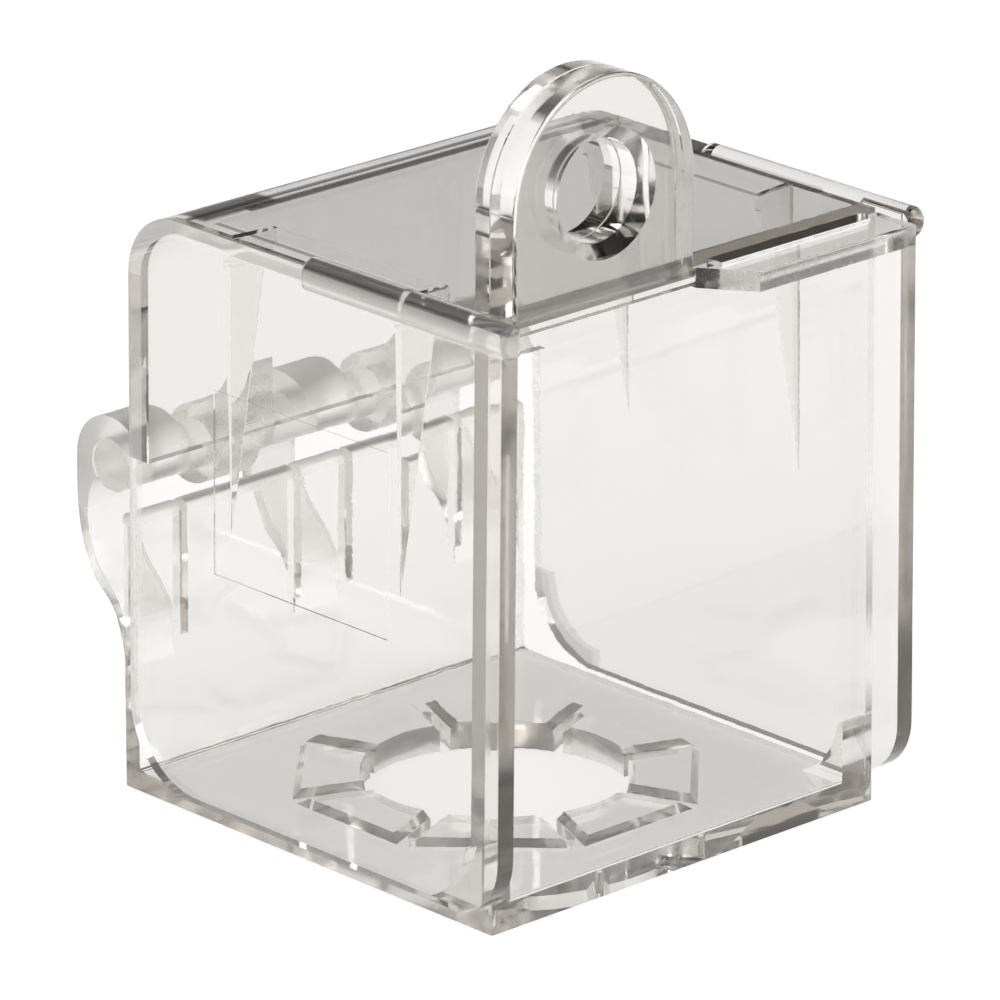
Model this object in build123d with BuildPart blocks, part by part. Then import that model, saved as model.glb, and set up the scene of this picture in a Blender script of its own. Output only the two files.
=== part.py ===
from build123d import *
import math
import os

os.makedirs("parts", exist_ok=True)

# Clear moulded lockout cover for a panel switch.
# Frame: origin at the centre of the switch hole on the underside of the base,
# +Z away from the panel, -Y towards the padlock eye, +Y towards the hinge.
# All sizes in millimetres.

# ---------------------------------------------------------------- base plate
plate_hx = 30.3          # half width of the mounting plate
plate_hy = 31.45         # half depth of the mounting plate
plate_t = 2.6            # plate thickness
hole_r = 15.25           # round hole for the switch body
pad_out = 22.66          # inradius of the outer octagon of the pads
pad_gap = 1.5            # gap between neighbouring pads
pad_h = 0.85             # pad height above the plate
notch_w = 1.3            # slits through the plate between the pads
notch_r = 21.8           # radius of their outer ends

# ---------------------------------------------------------------- front wall
wall_t = 2.2             # wall thickness of both mouldings
wall_top_hx = 29.5       # half width of the front wall at the top
top_z = 73.0             # height of the flush top
ledge_hx = 28.4          # half width of the ledge across the top of the wall
ledge_t = 2.0            # ledge thickness
ledge_y = -33.2          # front of the shallow half of the ledge
bar_y = -39.1            # front of the wide half of the ledge
bar_x = 3.6              # left end of the wide half
bar_t = 2.4              # thickness of the wide half
slot_x0, slot_x1 = 2.7, 27.0
slot_w = 2.4             # slot between the wide half and the wall

# ---------------------------------------------------------------- padlock eye
ear_cx = -14.65          # centre of the round ears
ear_cz = 84.75
ear_r = 13.75
ear_front_y = -33.2      # flush with the shallow half of the ledge
eye_r = 6.1              # bore for the padlock shackle
eye_sink_r = 7.6         # countersink at the front and rear faces

# ---------------------------------------------------------------- hinge
axis_y = 33.7            # hinge axis, parallel to X
axis_z = 39.2
rod_r = 3.2
rod_hx = 29.9
run_clear = 0.07         # radial running clearance of the hooks on the rod
hook_r = 6.05            # outer radius of the hooks
hooks = ((-30.1, 7.7), (-3.45, 6.9), (22.4, 7.7))  # left end and width of each hook
back_y0 = 29.05          # front face of the base's low back wall
back_z1 = 34.3           # its top edge
slit_w = 1.2             # relief slits beside each hook's root
slit_z = 17.8            # bottom of the slits
slit_x0 = (-22.4, -4.65, 3.45, 21.2)

# ---------------------------------------------------------------- cover
cov_hx_low = 33.05       # outer half width at the bottom edge
cov_hx_top = 32.3        # outer half width at the top
side_t = 2.4             # thickness of the side walls
cov_z0 = 2.9             # bottom edge
cov_front = -35.25       # front edge of the side walls
cov_back = 27.4          # rear face
lid_front = -29.0        # front edge of the top plate
back_z0 = 42.0           # lower edge of the rear wall
bend_r = 8.0             # outer radius of the bend between top and rear wall
corner_front_r = 7.5     # lower front corner of the side walls
corner_back_r = 10.2     # lower rear corner of the side walls
ply_t = 2.5              # thickness of the rear ear
bead_r = 2.0
bead_x = 31.1
bead_z = 71.8
bead_y0, bead_y1 = -36.3, -3.0
gusset_y = (10.9, -17.8)  # flat front faces of the four inner gussets
gusset_in = 24.3
gusset_t = 1.4           # thickness of a gusset where it meets the wall
web_x = 13.4
web_w = 6.5
knuckle_r = 5.0

draft = math.atan2(cov_hx_low - cov_hx_top, top_z - cov_z0)


def on_circle(r, deg):
    """Point at an angle on a circle about the hinge axis, in (Y, Z)."""
    a = math.radians(deg)
    return (axis_y + r * math.cos(a), axis_z + r * math.sin(a))


# =========================================================================
# Base: plate, front wall with ledge and front ear, low back wall, three hooks
# =========================================================================
with BuildPart() as base:
    # mounting plate
    with BuildSketch(Plane.XY):
        Rectangle(2 * plate_hx, 2 * plate_hy)
    extrude(amount=plate_t)

    # eight separate bevelled pads round the hole, laid out on an octagon
    pad_in = hole_r - 2.2
    half_in = pad_in * math.tan(math.pi / 8) - pad_gap / 2 / math.cos(math.pi / 8)
    half_out = pad_out * math.tan(math.pi / 8) - pad_gap / 2 / math.cos(math.pi / 8)
    with BuildSketch(Plane.XY.offset(plate_t)):
        with PolarLocations(0, 8):
            Polygon(
                (pad_in, -half_in),
                (pad_out, -half_out),
                (pad_out, half_out),
                (pad_in, half_in),
                align=None,
            )
    extrude(amount=pad_h, taper=45)

    # round switch hole, flush with the pads, and the slits that part them
    with BuildSketch(Plane.XY.offset(-1)):
        Circle(hole_r)
        with PolarLocations((hole_r + notch_r) / 2 - 1, 8, start_angle=22.5):
            SlotOverall(notch_r - hole_r + 2, notch_w)
    extrude(amount=plate_t + pad_h + 2, mode=Mode.SUBTRACT)

    # front wall, a little narrower at the top
    with BuildSketch(Plane.XZ.offset(plate_hy)):
        Polygon(
            (-plate_hx, 0),
            (plate_hx, 0),
            (wall_top_hx, top_z),
            (-wall_top_hx, top_z),
            align=None,
        )
    extrude(amount=-wall_t)

    # low back wall, its top edge rounded over
    with BuildSketch(Plane.YZ.offset(-plate_hx)):
        Polygon(
            (back_y0, plate_t - 1),
            (plate_hy, plate_t - 1),
            (plate_hy, back_z1),
            (back_y0, back_z1),
            align=None,
        )
    extrude(amount=2 * plate_hx)
    back_top = (
        base.edges()
        .filter_by(Axis.X)
        .filter_by_position(Axis.Z, back_z1 - 0.01, back_z1 + 0.01)
    )
    fillet(back_top, radius=1.1)

    # small inner radius where both walls meet the plate
    foot = (
        base.edges()
        .filter_by(Axis.X)
        .filter_by_position(Axis.Z, plate_t - 0.01, plate_t + 0.01)
        .filter_by_position(Axis.Y, -plate_hy + wall_t - 0.01, back_y0 + 0.01)
        .filter_by(lambda e: abs(e.center().Y) > 28 and e.length > 40)
    )
    fillet(foot, radius=0.7)

    # concave corner posts behind the wall at both ends
    for x0 in (26.5, -30.2):
        with BuildSketch(Plane.YZ.offset(x0)):
            with BuildLine():
                arc = ThreePointArc((-22.5, plate_t), (-25.9, 4.9), (-28.2, 9.2))
                Polyline(
                    arc @ 1,
                    (-28.5, 10.2),
                    (-plate_hy + 0.6, 10.6),
                    (-plate_hy + 0.6, plate_t - 1.0),
                    (-22.5, plate_t - 1.0),
                    arc @ 0,
                )
            make_face()
        extrude(amount=3.7)

    # shallow half of the ledge, bevelled underneath
    with BuildSketch(Plane.YZ.offset(-ledge_hx)):
        Polygon(
            (-plate_hy + 0.5, top_z - ledge_t),
            (-plate_hy, top_z - ledge_t),
            (ledge_y, top_z - 0.75),
            (ledge_y, top_z),
            (-plate_hy + 0.5, top_z),
            align=None,
        )
    extrude(amount=ledge_hx + 0.5)

    # wide half of the ledge, its left end cut back at a slant
    with BuildSketch(Plane.XY.offset(top_z - bar_t)):
        Polygon(
            (-0.6, -plate_hy + 0.5),
            (-0.6, ledge_y),
            (bar_x, bar_y),
            (ledge_hx, bar_y),
            (ledge_hx, -plate_hy + 0.5),
            align=None,
        )
    extrude(amount=bar_t)
    lip = (
        base.edges()
        .filter_by(Axis.X)
        .filter_by_position(Axis.Z, top_z - 0.01, top_z + 0.01)
        .filter_by_position(Axis.Y, bar_y - 0.01, bar_y + 0.01)
    )
    fillet(lip, radius=0.25)

    # slot between the wide half and the wall, rounded at its right end
    with BuildSketch(Plane.XY.offset(top_z - bar_t - 1)):
        with Locations(((slot_x0 + slot_x1) / 2, -plate_hy - slot_w / 2)):
            Rectangle(slot_x1 - slot_x0, slot_w)
    extrude(amount=bar_t + 2, mode=Mode.SUBTRACT)
    end = (
        base.edges()
        .filter_by(Axis.Z)
        .filter_by_position(Axis.X, slot_x1 - 0.01, slot_x1 + 0.01)
    )
    fillet(end, radius=1.1)

    # front ear of the padlock eye
    with BuildSketch(Plane.XZ.offset(-ear_front_y)):
        with Locations((ear_cx, ear_cz)):
            Circle(ear_r)
        with Locations((ear_cx, (ear_cz + top_z - ledge_t) / 2)):
            Rectangle(2 * ear_r, ear_cz - top_z + ledge_t)
    extrude(amount=-(ear_front_y * -1 - plate_hy + wall_t))
    # soft rim round the front face of the ear
    rim = (
        base.edges()
        .filter_by_position(Axis.Y, ear_front_y - 0.01, ear_front_y + 0.01)
        .filter_by_position(Axis.Z, top_z + 1, 120)
    )
    fillet(rim, radius=0.5)
    with Locations(Plane.XZ.offset(-ear_front_y) * Location((ear_cx, ear_cz, 0))):
        CounterSinkHole(
            radius=eye_r,
            counter_sink_radius=eye_sink_r,
            depth=8,
            counter_sink_angle=90,
        )

    # three hinge stations on the back wall: an S-shaped leaf and an open hook
    for x0, hook_w in hooks:
        with BuildSketch(Plane.YZ.offset(x0)):
            with BuildLine():
                outer = Spline(
                    (31.2, 12.0),
                    (31.6, 15.7),
                    (32.15, 18.1),
                    (32.95, 20.4),
                    (34.5, 22.6),
                    (36.6, 24.3),
                    (38.1, 26.8),
                    (39.2, 29.9),
                    (39.7, 33.2),
                    on_circle(hook_r, 0),
                    tangents=[(0.0, 1.0), (0.0, 1.0)],
                )
                top = CenterArc((axis_y, axis_z), hook_r, 0, 163)
                nose = Line(top @ 1, on_circle(rod_r + run_clear, 163))
                inside = CenterArc(
                    (axis_y, axis_z), rod_r + run_clear, 163, -201
                )
                inner = Spline(
                    inside @ 1,
                    (37.75, 34.4),
                    (37.85, 31.2),
                    (37.05, 28.1),
                    (35.6, 25.8),
                    (33.6, 23.9),
                    (32.3, 22.3),
                    (31.2, 20.6),
                    tangents=[(0.75, -0.66), (-0.5, -0.86)],
                )
                Line(inner @ 1, outer @ 0)
            make_face()
        extrude(amount=hook_w)

    # relief slits that set the hook roots apart from the back wall
    for x0 in slit_x0:
        with BuildSketch(Plane.XY.offset(slit_z)):
            with Locations((x0 + slit_w / 2, (back_y0 + plate_hy) / 2)):
                Rectangle(slit_w, 3.4)
        extrude(amount=back_z1 - slit_z + 1, mode=Mode.SUBTRACT)
base.part.label = "base"

# =========================================================================
# Cover: two drafted side walls, top plate and rear wall in one bend,
# rear ear, edge beads, four tapered gussets and the two rod webs
# =========================================================================
with BuildPart() as cover:
    # both side walls from one drafted section, run front to back
    with BuildSketch(Plane.XZ.offset(-cov_front)):
        for s in (1, -1):
            Polygon(
                (s * cov_hx_low, cov_z0),
                (s * cov_hx_top, top_z),
                (s * (cov_hx_top - side_t), top_z),
                (s * (cov_hx_low - side_t), cov_z0),
                align=None,
            )
    extrude(amount=cov_front - cov_back)

    # side outline: rounded lower corners and the big upper rear bend
    with BuildSketch(Plane.YZ.offset(-40)):
        with BuildLine():
            Polyline(
                (cov_front + corner_front_r, cov_z0),
                (cov_back - corner_back_r, cov_z0),
            )
            RadiusArc(
                (cov_back - corner_back_r, cov_z0),
                (cov_back, cov_z0 + corner_back_r),
                -corner_back_r,
            )
            Line((cov_back, cov_z0 + corner_back_r), (cov_back, top_z - bend_r))
            RadiusArc(
                (cov_back, top_z - bend_r), (cov_back - bend_r, top_z), -bend_r
            )
            Polyline(
                (cov_back - bend_r, top_z),
                (cov_front, top_z),
                (cov_front, cov_z0 + corner_front_r),
            )
            RadiusArc(
                (cov_front, cov_z0 + corner_front_r),
                (cov_front + corner_front_r, cov_z0),
                -corner_front_r,
            )
        make_face()
    extrude(amount=80, mode=Mode.INTERSECT)

    # top plate and rear wall, joined by the bend
    span = cov_hx_top - wall_t + 1.0
    with BuildSketch(Plane.YZ.offset(-span)):
        with BuildLine():
            Polyline(
                (cov_back - bend_r, top_z),
                (lid_front, top_z),
                (lid_front, top_z - ledge_t),
                (cov_back - bend_r, top_z - ledge_t),
            )
            RadiusArc(
                (cov_back - bend_r, top_z - ledge_t),
                (cov_back - wall_t, top_z - bend_r),
                bend_r - wall_t,
            )
            Polyline(
                (cov_back - wall_t, top_z - bend_r),
                (cov_back - wall_t, back_z0),
                (cov_back, back_z0),
                (cov_back, top_z - bend_r),
            )
            RadiusArc(
                (cov_back, top_z - bend_r), (cov_back - bend_r, top_z), -bend_r
            )
        make_face()
    extrude(amount=2 * span)

    # strips on the underside of the top plate between the gussets
    for x0 in (gusset_in, -gusset_in - 6.2):
        with BuildSketch(Plane.XY.offset(top_z - ledge_t - 0.4)):
            with Locations((x0 + 3.1, (gusset_y[0] + gusset_y[1]) / 2)):
                Rectangle(6.2, gusset_y[0] - gusset_y[1])
        extrude(amount=0.6)

    # four slender gussets, each running down to a point on its wall
    for s in (1, -1):
        for y0 in gusset_y:
            with BuildSketch(Plane.XY.offset(top_z - ledge_t + 0.5)) as foot_tri:
                Polygon(
                    (s * 31.2, y0),
                    (s * (gusset_in - 0.1), y0),
                    (s * (gusset_in - 0.1), y0 + 0.5),
                    (s * 31.2, y0 + gusset_t),
                    align=None,
                )
            loft(sections=[foot_tri.sketch.face(), Vertex(s * 31.3, y0, 31.5)])

    # rear ear of the padlock eye, standing on the front edge of the top plate
    with BuildSketch(Plane.XZ.offset(-lid_front)):
        with Locations((ear_cx, ear_cz)):
            Circle(ear_r)
        with Locations((ear_cx, (ear_cz + top_z - ledge_t) / 2)):
            Rectangle(2 * ear_r, ear_cz - top_z + ledge_t)
    extrude(amount=-ply_t)
    ply_rim = (
        cover.edges()
        .filter_by_position(Axis.Y, lid_front + ply_t - 0.01, lid_front + ply_t + 0.01)
        .filter_by_position(Axis.Z, top_z + 1, 120)
    )
    fillet(ply_rim, radius=0.4)
    with Locations(Plane.XZ.offset(-lid_front) * Location((ear_cx, ear_cz, 0))):
        Hole(radius=eye_r, depth=6)

    # rounded beads along both upper side edges, with a rounded nose
    for s in (1, -1):
        with BuildSketch(Plane.XZ.offset(-bead_y0)):
            with Locations((s * bead_x, bead_z)):
                Circle(bead_r)
            with Locations((s * (cov_hx_top - wall_t - 1.0), bead_z)):
                Rectangle(2.0, 3 * bead_r, mode=Mode.SUBTRACT)
        extrude(amount=-(lid_front - bead_y0 + 0.2))
        with BuildSketch(Plane.XZ.offset(-lid_front)):
            with Locations((s * bead_x, bead_z)):
                Circle(bead_r)
            with Locations((s * (cov_hx_top - wall_t - 1.0), top_z - 3.0)):
                Rectangle(2.0, 6.0, mode=Mode.SUBTRACT)
        extrude(amount=-(bead_y1 - lid_front))
    noses = cover.edges().filter_by_position(Axis.Y, bead_y0 - 0.01, bead_y0 + 0.01)
    fillet(noses, radius=0.9)

    # plain recessed panel on the outer face of the left wall
    panel_plane = Plane(
        origin=(
            -(cov_hx_low + (cov_hx_top - cov_hx_low) * (43.3 - cov_z0) / (top_z - cov_z0)),
            -2.1,
            43.3,
        ),
        x_dir=(0, -1, 0),
        z_dir=(-math.cos(draft), 0, math.sin(draft)),
    )
    with BuildSketch(panel_plane):
        Rectangle(29.5, 22.3)
    extrude(amount=-0.2, mode=Mode.SUBTRACT)

    # two webs that carry the hinge rod, faired into the rear wall
    for xc in (-web_x, web_x):
        with BuildSketch(Plane.YZ.offset(xc - web_w / 2)):
            with BuildLine():
                a = ThreePointArc((cov_back - 0.6, 53.0), (28.95, 47.45), on_circle(knuckle_r, 88))
                b = CenterArc((axis_y, axis_z), knuckle_r, 88, -238)
                Polyline(b @ 1, (cov_back - 0.6, back_z0 - 0.0), a @ 0)
            make_face()
        extrude(amount=web_w)
        with Locations(
            Plane.YZ.offset(xc - web_w / 2 - 1) * Location((axis_y, axis_z, 0))
        ):
            Cylinder(
                rod_r,
                web_w + 2,
                align=(Align.CENTER, Align.CENTER, Align.MIN),
                mode=Mode.SUBTRACT,
            )
cover.part.label = "cover"

# =========================================================================
# Hinge rod: one plain clear rod through both webs and all three hooks
# =========================================================================
with BuildPart() as hinge_rod:
    with BuildSketch(Plane.YZ.offset(-rod_hx)):
        with Locations((axis_y, axis_z)):
            Circle(rod_r)
    extrude(amount=2 * rod_hx)
hinge_rod.part.label = "hinge_rod"

export_step(base.part, "parts/base.step")
export_step(cover.part, "parts/cover.step")
export_step(hinge_rod.part, "parts/hinge_rod.step")
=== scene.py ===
import math

import bpy
from mathutils import Matrix, Vector

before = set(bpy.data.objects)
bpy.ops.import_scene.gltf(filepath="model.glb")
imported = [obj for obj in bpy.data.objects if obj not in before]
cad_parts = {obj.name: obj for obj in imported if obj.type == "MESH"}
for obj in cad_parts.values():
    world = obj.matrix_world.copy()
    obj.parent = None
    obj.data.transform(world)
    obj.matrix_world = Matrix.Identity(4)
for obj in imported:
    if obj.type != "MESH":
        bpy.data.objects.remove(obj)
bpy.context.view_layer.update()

scene = bpy.context.scene
scene.view_settings.view_transform = "Standard"
scene.view_settings.look = "None"
scene.view_settings.exposure = 0.0
scene.view_settings.gamma = 1.0
scene.cycles.max_bounces = 48
scene.cycles.transmission_bounces = 40
scene.cycles.glossy_bounces = 32
scene.cycles.transparent_max_bounces = 16
scene.cycles.caustics_reflective = False
scene.cycles.caustics_refractive = False
scene.cycles.blur_glossy = 0.0

# ------------------------------------------------------------------ camera
AZ, EL = math.radians(46.99), math.radians(19.91)
DIST, FPX = 1.04376, 9008.29
TARGET = Vector((0.0, 0.0, 0.035))
forward = Vector(
    (math.cos(AZ) * math.cos(EL), math.sin(AZ) * math.cos(EL), -math.sin(EL))
)
right = Vector((math.sin(AZ), -math.cos(AZ), 0.0))
up = right.cross(forward)
cam_data = bpy.data.cameras.new("camera")
cam = bpy.data.objects.new("camera", cam_data)
scene.collection.objects.link(cam)
turn = Matrix((right, up, -forward)).transposed().to_4x4()
cam.matrix_world = Matrix.Translation(TARGET - forward * DIST) @ turn
cam_data.sensor_width = 36.0
cam_data.lens = FPX / 1000.0 * 36.0
cam_data.shift_x = (500.0 - 498.15) / 1000.0
cam_data.shift_y = (511.9 - 500.0) / 1000.0
cam_data.clip_start, cam_data.clip_end = 0.05, 50.0
scene.camera = cam


# --------------------------------------------------------------- materials
def box_mask(nt, coord, lo, hi, soft, round_yz=None):
    """1 inside a box in the part's own coordinates (metres), fading over a soft edge.

    round_yz is (y, z, r): only the part farther than r from that line along X.
    """
    sep = nt.nodes.new("ShaderNodeSeparateXYZ")
    nt.links.new(coord, sep.inputs[0])
    out = None
    if round_yz is not None:
        flat = nt.nodes.new("ShaderNodeVectorMath")
        flat.operation = "MULTIPLY"
        flat.inputs[1].default_value = (0.0, 1.0, 1.0)
        nt.links.new(coord, flat.inputs[0])
        far = nt.nodes.new("ShaderNodeVectorMath")
        far.operation = "DISTANCE"
        far.inputs[1].default_value = (0.0, round_yz[0], round_yz[1])
        nt.links.new(flat.outputs[0], far.inputs[0])
        ring = nt.nodes.new("ShaderNodeMapRange")
        ring.interpolation_type = "SMOOTHSTEP"
        ring.inputs["From Min"].default_value = round_yz[2] - soft
        ring.inputs["From Max"].default_value = round_yz[2] + soft
        nt.links.new(far.outputs["Value"], ring.inputs["Value"])
        out = ring.outputs["Result"]
    for axis in range(3):
        for edge, inward in ((lo[axis], 1.0), (hi[axis], -1.0)):
            if edge is None:
                continue
            step = nt.nodes.new("ShaderNodeMapRange")
            step.interpolation_type = "SMOOTHSTEP"
            step.inputs["From Min"].default_value = edge - soft * inward
            step.inputs["From Max"].default_value = edge + soft * inward
            nt.links.new(sep.outputs[axis], step.inputs["Value"])
            if out is None:
                out = step.outputs["Result"]
            else:
                mul = nt.nodes.new("ShaderNodeMath")
                mul.operation = "MULTIPLY"
                nt.links.new(out, mul.inputs[0])
                nt.links.new(step.outputs["Result"], mul.inputs[1])
                out = mul.outputs[0]
    return out


# dark brown painted shade, standing in for light trapped in thick clear plastic and for dark reflections
PAINTED_SHADE_BROWN = (0.045, 0.038, 0.028)
# pale colour: partly the frosted look of the edges, partly painted light where the clear edges render dark
FROSTED_AND_PAINTED_LIGHT = (0.80, 0.775, 0.75)
# grey painted shade, for parts seen darker through other walls
PAINTED_SHADE_GREY = (0.58, 0.57, 0.55)


def clear_plastic(name, colour, density, tint, rough=0.012, matt=(), painted_light_and_shade=()):
    """Polished clear moulding: bends light, greys over long paths, faint flow marks and hairlines in the surface;
    the listed boxes mix in painted shade and painted pale light.
    """
    mat = bpy.data.materials.new(name)
    mat.use_nodes = True
    nt = mat.node_tree
    nt.nodes.clear()
    out = nt.nodes.new("ShaderNodeOutputMaterial")
    p = nt.nodes.new("ShaderNodeBsdfPrincipled")
    p.inputs["Base Color"].default_value = (*colour, 1.0)
    p.inputs["Transmission Weight"].default_value = 1.0
    p.inputs["IOR"].default_value = 1.57
    p.inputs["Roughness"].default_value = rough
    own = nt.nodes.new("ShaderNodeTexCoord").outputs["Object"]

    # matt areas: the mould's ground faces, with a speckle
    level = None
    for lo, hi, amount in matt:
        mask = box_mask(nt, own, lo, hi, 0.0002)
        speck = nt.nodes.new("ShaderNodeTexNoise")
        speck.inputs["Scale"].default_value = 900.0
        speck.inputs["Detail"].default_value = 4.0
        nt.links.new(own, speck.inputs["Vector"])
        vary = nt.nodes.new("ShaderNodeMapRange")
        vary.inputs["From Min"].default_value = 0.3
        vary.inputs["From Max"].default_value = 0.7
        vary.inputs["To Min"].default_value = amount * 0.75
        vary.inputs["To Max"].default_value = amount * 1.25
        nt.links.new(speck.outputs["Fac"], vary.inputs["Value"])
        mixr = nt.nodes.new("ShaderNodeMix")
        mixr.data_type = "FLOAT"
        mixr.inputs[2].default_value = rough
        nt.links.new(mask, mixr.inputs[0])
        if level is not None:
            nt.links.new(level, mixr.inputs[2])
        nt.links.new(vary.outputs["Result"], mixr.inputs[3])
        level = mixr.outputs[0]
    if level is not None:
        nt.links.new(level, p.inputs["Roughness"])
    clear = nt.nodes.new("ShaderNodeBsdfTransparent")
    clear.inputs["Color"].default_value = (0.87, 0.87, 0.862, 1.0)
    path = nt.nodes.new("ShaderNodeLightPath")
    mix = nt.nodes.new("ShaderNodeMixShader")
    nt.links.new(path.outputs["Is Shadow Ray"], mix.inputs[0])

    # painted light and shade: dark brown painted shade where a clear wall is seen edge-on, in the slot and as dark
    # lines and a patch on the top; grey painted shade on the hooks; pale colour on frosted edges, partly painted
    # light
    surface = p.outputs[0]
    for painted_colour, lo, hi, soft, amount, *ring in painted_light_and_shade:
        mask = box_mask(nt, own, lo, hi, soft, *ring)
        part = nt.nodes.new("ShaderNodeMath")
        part.operation = "MULTIPLY"
        nt.links.new(mask, part.inputs[0])
        part.inputs[1].default_value = amount
        shade = nt.nodes.new("ShaderNodeBsdfPrincipled")
        shade.inputs["Base Color"].default_value = (*painted_colour, 1.0)
        shade.inputs["Roughness"].default_value = 0.35
        shade.inputs["IOR"].default_value = 1.2
        over = nt.nodes.new("ShaderNodeMixShader")
        nt.links.new(part.outputs[0], over.inputs[0])
        nt.links.new(surface, over.inputs[1])
        nt.links.new(shade.outputs[0], over.inputs[2])
        surface = over.outputs[0]
    nt.links.new(surface, mix.inputs[1])
    nt.links.new(clear.outputs[0], mix.inputs[2])
    nt.links.new(mix.outputs[0], out.inputs["Surface"])

    # slow moulding waves and fine flow lines, as a normal
    where = nt.nodes.new("ShaderNodeTexCoord")
    slow = nt.nodes.new("ShaderNodeTexNoise")
    slow.inputs["Scale"].default_value = 90.0
    slow.inputs["Detail"].default_value = 2.0
    nt.links.new(where.outputs["Object"], slow.inputs["Vector"])
    fine = nt.nodes.new("ShaderNodeTexNoise")
    fine.inputs["Scale"].default_value = 1400.0
    fine.inputs["Detail"].default_value = 3.0
    nt.links.new(where.outputs["Object"], fine.inputs["Vector"])
    bump1 = nt.nodes.new("ShaderNodeBump")
    bump1.inputs["Strength"].default_value = 0.05
    bump1.inputs["Distance"].default_value = 0.0004
    nt.links.new(slow.outputs["Fac"], bump1.inputs["Height"])
    bump2 = nt.nodes.new("ShaderNodeBump")
    bump2.inputs["Strength"].default_value = 0.02
    bump2.inputs["Distance"].default_value = 0.00005
    nt.links.new(fine.outputs["Fac"], bump2.inputs["Height"])
    nt.links.new(bump1.outputs[0], bump2.inputs["Normal"])
    nt.links.new(bump2.outputs[0], p.inputs["Normal"])

    grey = nt.nodes.new("ShaderNodeVolumeAbsorption")
    grey.inputs["Color"].default_value = (*tint, 1.0)
    grey.inputs["Density"].default_value = density
    nt.links.new(grey.outputs[0], out.inputs["Volume"])
    return mat


base_mat = clear_plastic(
    "clear_base",
    (0.93, 0.923, 0.912),
    30.0,
    (0.62, 0.58, 0.53),
    matt=(
        ((None, None, 0.0708), (None, -0.0335, 0.0728), 0.24),
        ((None, None, 0.0690), (None, -0.0388, 0.0728), 0.24),
        ((None, None, 0.0030), (-0.0292, None, 0.0728), 0.14),
        ((0.0292, None, 0.0030), (None, None, 0.0728), 0.14),
        ((None, None, None), (-0.0301, None, 0.0024), 0.22),
        ((-0.0290, -0.0329, 0.0738), (-0.0002, -0.0295, None), 0.11),
        ((None, 0.0320, 0.0120), (None, None, None), 0.12),
        ((None, 0.0285, 0.0328), (None, None, None), 0.38),
        ((-0.0245, -0.0245, 0.0002), (0.0245, 0.0245, 0.0024), 0.22),
        ((-0.0245, -0.0245, 0.0028), (0.0245, 0.0245, 0.0033), 0.22),
    ),
    painted_light_and_shade=(
        # painted shade: dark brown on the slot's rear face, where the deep slot traps light
        (PAINTED_SHADE_BROWN, (0.0027, -0.0316, 0.0700), (0.0270, -0.0313, 0.0729), 0.00008, 0.96),
        # painted grey shade on the hooks at the back
        (PAINTED_SHADE_GREY, (None, 0.0322, 0.0120), (None, None, None), 0.0003, 0.07),
    ),
)
cover_mat = clear_plastic(
    "clear_cover",
    (0.895, 0.888, 0.876),
    30.0,
    (0.62, 0.58, 0.53),
    matt=(
        ((None, None, None), (None, -0.0350, 0.0690), 0.15),
        ((None, -0.0365, 0.0700), (-0.0300, -0.0032, None), 0.22),
        ((-0.0290, -0.0287, 0.0738), (-0.0002, -0.0268, None), 0.11),
        ((None, 0.0271, None), (None, None, 0.0412), 0.25),
        ((None, 0.0276, None), (None, None, 0.0545), 0.30),
        ((None, 0.0195, 0.0650), (-0.0318, None, None), 0.20),
        ((None, 0.0252, None), (-0.0318, None, 0.0650), 0.16),
        ((None, None, 0.0710), (-0.0318, 0.0195, None), 0.16),
    ),
    painted_light_and_shade=(
        # pale colour on the left bead, partly its frosted look, partly painted light
        (FROSTED_AND_PAINTED_LIGHT, (None, -0.0365, 0.0700), (-0.0302, -0.0032, 0.0729), 0.0003, 0.42),
        (FROSTED_AND_PAINTED_LIGHT, (None, -0.0365, 0.0732), (-0.0302, -0.0032, None), 0.0003, 0.25),
        # painted dark line beside the left bead, standing in for a dark reflection
        (PAINTED_SHADE_BROWN, (-0.0297, -0.0290, 0.0725), (-0.0289, 0.0155, None), 0.0002, 0.55),
        # faint painted shade over the whole top face
        (PAINTED_SHADE_BROWN, (-0.0285, -0.0290, 0.0728), (0.0282, 0.0160, 0.0732), 0.0001, 0.12),
        # pale colour on the right wall's rear lower corner and on the left wall's rear and top zones, partly frosted
        # look, partly painted light
        (FROSTED_AND_PAINTED_LIGHT, (0.0305, 0.0172, None), (None, None, 0.0131), 0.0002, 0.3, (0.0172, 0.0131, 0.0078)),
        (FROSTED_AND_PAINTED_LIGHT, (None, 0.0194, 0.0650), (-0.0317, None, None), 0.0001, 0.5, (0.0194, 0.0650, 0.0058)),
        (FROSTED_AND_PAINTED_LIGHT, (None, 0.0252, None), (-0.0317, None, 0.0650), 0.0001, 0.28),
        (FROSTED_AND_PAINTED_LIGHT, (None, -0.0032, 0.0710), (-0.0317, 0.0194, None), 0.0001, 0.5),
        # painted dark line along the top's rear edge, standing in for a dark reflection
        (PAINTED_SHADE_BROWN, (-0.0235, 0.0160, 0.0725), (0.0310, 0.0176, None), 0.0003, 0.85),
        # painted dark line beside the right bead
        (PAINTED_SHADE_BROWN, (0.0283, -0.0230, 0.0725), (0.0296, 0.0155, None), 0.0003, 0.6),
        # painted dark line near the rear bend
        (PAINTED_SHADE_BROWN, (-0.0300, 0.0208, 0.0718), (0.0310, 0.0222, None), 0.0003, 0.5),
        # painted dark patch at the left rear of the top, standing in for a dark reflection
        (PAINTED_SHADE_BROWN, (-0.0300, 0.0168, 0.0722), (-0.0185, 0.0212, None), 0.0006, 0.85),
    ),
)
rod_mat = clear_plastic("clear_rod", (0.93, 0.923, 0.91), 12.0, (0.62, 0.58, 0.53), 0.26)
for node, mat in (("base", base_mat), ("cover", cover_mat), ("hinge_rod", rod_mat)):
    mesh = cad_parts[node].data
    mesh.materials.clear()
    mesh.materials.append(mat)

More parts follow.
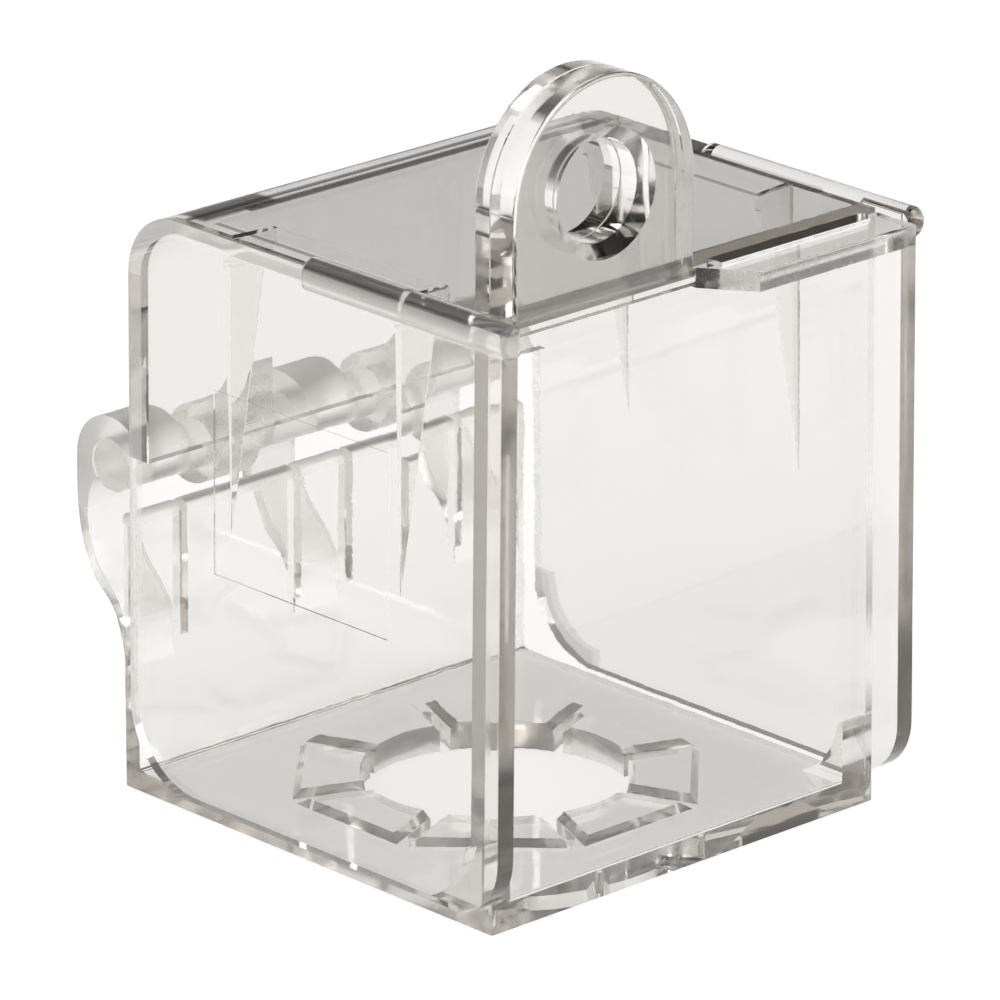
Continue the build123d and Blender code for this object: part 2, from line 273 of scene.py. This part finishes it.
# ------------------------------------------------------------ floor, light
floor_mesh = bpy.data.meshes.new("floor")
R = 6.0
floor_mesh.from_pydata(
    [(-R, -R, -0.0004), (R, -R, -0.0004), (R, R, -0.0004), (-R, R, -0.0004)],
    [],
    [(0, 1, 2, 3)],
)
floor = bpy.data.objects.new("floor", floor_mesh)
scene.collection.objects.link(floor)
floor_mat = bpy.data.materials.new("floor")
floor_mat.use_nodes = True
fp = floor_mat.node_tree.nodes["Principled BSDF"]
fp.inputs["Base Color"].default_value = (0.93, 0.93, 0.93, 1.0)
fp.inputs["Roughness"].default_value = 0.9
fp.inputs["Specular IOR Level"].default_value = 0.0
fp.inputs["Emission Color"].default_value = (1.0, 1.0, 1.0, 1.0)
fp.inputs["Emission Strength"].default_value = 0.72
floor_mesh.materials.append(floor_mat)

world = bpy.data.worlds.new("studio")
scene.world = world
world.use_nodes = True
wn = world.node_tree
wn.nodes.clear()
wout = wn.nodes.new("ShaderNodeOutputWorld")
bg = wn.nodes.new("ShaderNodeBackground")
bg.inputs["Strength"].default_value = 0.9
wn.links.new(bg.outputs[0], wout.inputs[0])
coord = wn.nodes.new("ShaderNodeTexCoord")
sep = wn.nodes.new("ShaderNodeSeparateXYZ")
wn.links.new(coord.outputs["Generated"], sep.inputs[0])
ramp = wn.nodes.new("ShaderNodeValToRGB")
ramp.color_ramp.elements[0].position = 0.02
ramp.color_ramp.elements[0].color = (1.0, 1.0, 1.0, 1.0)
ramp.color_ramp.elements[1].position = 0.70
ramp.color_ramp.elements[1].color = (0.05, 0.05, 0.05, 1.0)
mid = ramp.color_ramp.elements.new(0.30)
mid.color = (0.22, 0.22, 0.22, 1.0)
wn.links.new(sep.outputs["Z"], ramp.inputs[0])
wn.links.new(ramp.outputs[0], bg.inputs["Color"])


def area(name, loc, aim, size, power):
    data = bpy.data.lights.new(name, "AREA")
    data.shape = "RECTANGLE"
    data.size, data.size_y = size
    data.energy = power
    lamp = bpy.data.objects.new(name, data)
    scene.collection.objects.link(lamp)
    lamp.location = loc
    lamp.rotation_mode = "QUATERNION"
    lamp.rotation_quaternion = (Vector(aim) - Vector(loc)).to_track_quat("-Z", "Y")
    return lamp


area("left_soft", (-1.5, -0.5, 0.9), (0, 0, 0.04), (1.3, 1.3), 17.0)
area("right_soft", (1.0, -1.5, 1.0), (0, 0, 0.04), (1.3, 1.3), 14.0)
